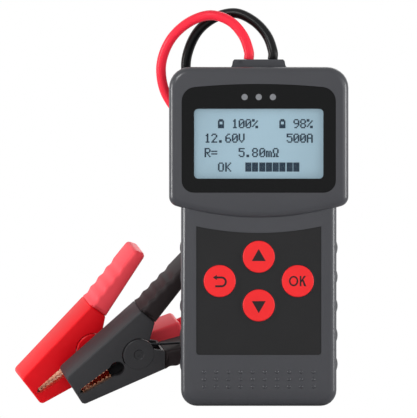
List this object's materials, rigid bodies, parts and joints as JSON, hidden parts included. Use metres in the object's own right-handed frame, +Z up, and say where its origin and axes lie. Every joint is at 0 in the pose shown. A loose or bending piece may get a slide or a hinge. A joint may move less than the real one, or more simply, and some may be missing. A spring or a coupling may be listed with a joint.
{
  "type": "battery tester",
  "caption": "Handheld battery tester with a display, four round keys and two insulated spring clamps on flexible leads.",
  "frame": {"origin": "middle of the lower end of the case, on the surface it stands on", "axes": "+X to the right seen from the front, the face towards -Y, +Z up along the case"},
  "size_m": [0.1672, 0.1154, 0.1993],
  "materials": {
    "case_plastic": "fine satin moulded plastic",
    "boss_plastic": "satin moulded plastic",
    "lens": "polished, printed dark behind",
    "light_pipe": "clear moulded plastic",
    "led": "moulded",
    "steel_sheet": "plain sheet",
    "display": "polished",
    "diffuser": "frosted",
    "keypad": "printed film",
    "key_red": "satin moulded plastic",
    "black_part": "moulded",
    "board": "solder mask",
    "capacitor": "sleeve film",
    "ceramic": "fired ceramic",
    "brass": "plain",
    "steel": "plated",
    "dark_steel": "blackened",
    "clamp_red": "moulded",
    "clamp_black": "moulded",
    "grip_red": "soft moulded vinyl",
    "grip_black": "soft moulded vinyl",
    "copper": "copper plated steel, bright",
    "spring_steel": "drawn wire",
    "lead_red": "soft jacket",
    "lead_black": "soft jacket"
  },
  "bodies": {
    "tester": {"front_cover": "case_plastic", "rear_cover": "case_plastic", "lead_boss": "boss_plastic", "screen_lens": "lens", "light_pipes": "light_pipe", "status_leds": "led", "display_frame": "steel_sheet", "display_glass": "display", "backlight": "diffuser", "keypad_panel": "keypad", "circuit_board": "board", "key_switches": "steel", "control_chip": "black_part", "capacitors": "capacitor", "load_resistor": "ceramic", "power_transistors": "black_part", "buzzer": "black_part", "usb_socket": "steel", "lead_terminals": "brass", "red_inner_wire": "lead_red", "black_inner_wire": "lead_black", "board_screws": "steel", "case_screws": "dark_steel", "red_lower_jaw": "clamp_red", "red_lower_teeth": "copper", "red_lower_grip": "grip_red", "red_pin": "clamp_red", "red_spring": "spring_steel", "black_lower_jaw": "clamp_black", "black_lower_teeth": "copper", "black_lower_grip": "grip_black", "black_pin": "clamp_black", "black_spring": "spring_steel", "red_lead": "lead_red", "black_lead": "lead_black"},
    "up_key": {"key_up": "key_red", "plunger_up": "black_part"},
    "back_key": {"key_back": "key_red", "plunger_back": "black_part"},
    "ok_key": {"key_ok": "key_red", "plunger_ok": "black_part"},
    "down_key": {"key_down": "key_red", "plunger_down": "black_part"},
    "red_upper": {"red_upper_jaw": "clamp_red", "red_upper_teeth": "copper", "red_upper_grip": "grip_red", "red_spring_arm": "spring_steel"},
    "black_upper": {"black_upper_jaw": "clamp_black", "black_upper_teeth": "copper", "black_upper_grip": "grip_black", "black_spring_arm": "spring_steel"}
  },
  "joints": [
    {"name": "up_press", "type": "slide", "parent": "tester", "child": "up_key", "axis": [0, 1, 0], "range_m": [0, 0.0006], "stiffness_N_per_m": 400, "springref_m": -0.0012},
    {"name": "back_press", "type": "slide", "parent": "tester", "child": "back_key", "axis": [0, 1, 0], "range_m": [0, 0.0006], "stiffness_N_per_m": 400, "springref_m": -0.0012},
    {"name": "ok_press", "type": "slide", "parent": "tester", "child": "ok_key", "axis": [0, 1, 0], "range_m": [0, 0.0006], "stiffness_N_per_m": 400, "springref_m": -0.0012},
    {"name": "down_press", "type": "slide", "parent": "tester", "child": "down_key", "axis": [0, 1, 0], "range_m": [0, 0.0006], "stiffness_N_per_m": 400, "springref_m": -0.0012},
    {"name": "red_clamp_hinge", "type": "hinge", "parent": "tester", "child": "red_upper", "pos_m": [-0.0856, 0.0545, 0.031], "axis": [-0.2306, 0.9272, 0.2952], "range_deg": [0, 32], "stiffness_Nm_per_rad": 0.6, "springref_deg": -20.05},
    {"name": "black_clamp_hinge", "type": "hinge", "parent": "tester", "child": "black_upper", "pos_m": [-0.062, 0.036, 0.0286], "axis": [-0.204, 0.9272, 0.3142], "range_deg": [0, 32], "stiffness_Nm_per_rad": 0.6, "springref_deg": -20.05}
  ]
}
